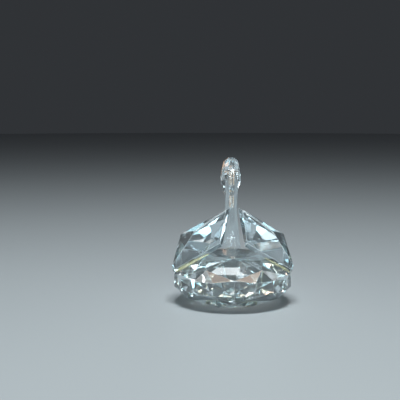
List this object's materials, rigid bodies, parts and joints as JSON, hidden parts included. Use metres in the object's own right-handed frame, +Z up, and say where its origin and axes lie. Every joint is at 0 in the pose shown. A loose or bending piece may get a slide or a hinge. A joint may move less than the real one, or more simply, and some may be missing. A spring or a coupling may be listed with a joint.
{
  "type": "swan figurine",
  "caption": "Free-standing swan figurine of clear cut glass: a round faceted body on a small flat base, two raised faceted wings and a curved neck with the head, all bonded on.",
  "frame": {"origin": "centre of the flat base, on the surface the swan stands on", "axes": "+Y the way the swan looks, +Z up, +X to the swan's right"},
  "size_m": [0.041, 0.0456, 0.0485],
  "materials": {
    "crystal": "polished",
    "adhesive": "clear, slightly yellowed"
  },
  "bodies": {
    "root": {"body": "crystal", "left_wing": "crystal", "right_wing": "crystal", "neck": "crystal", "left_wing_bond": "adhesive", "right_wing_bond": "adhesive", "neck_bond": "adhesive"}
  },
  "joints": []
}
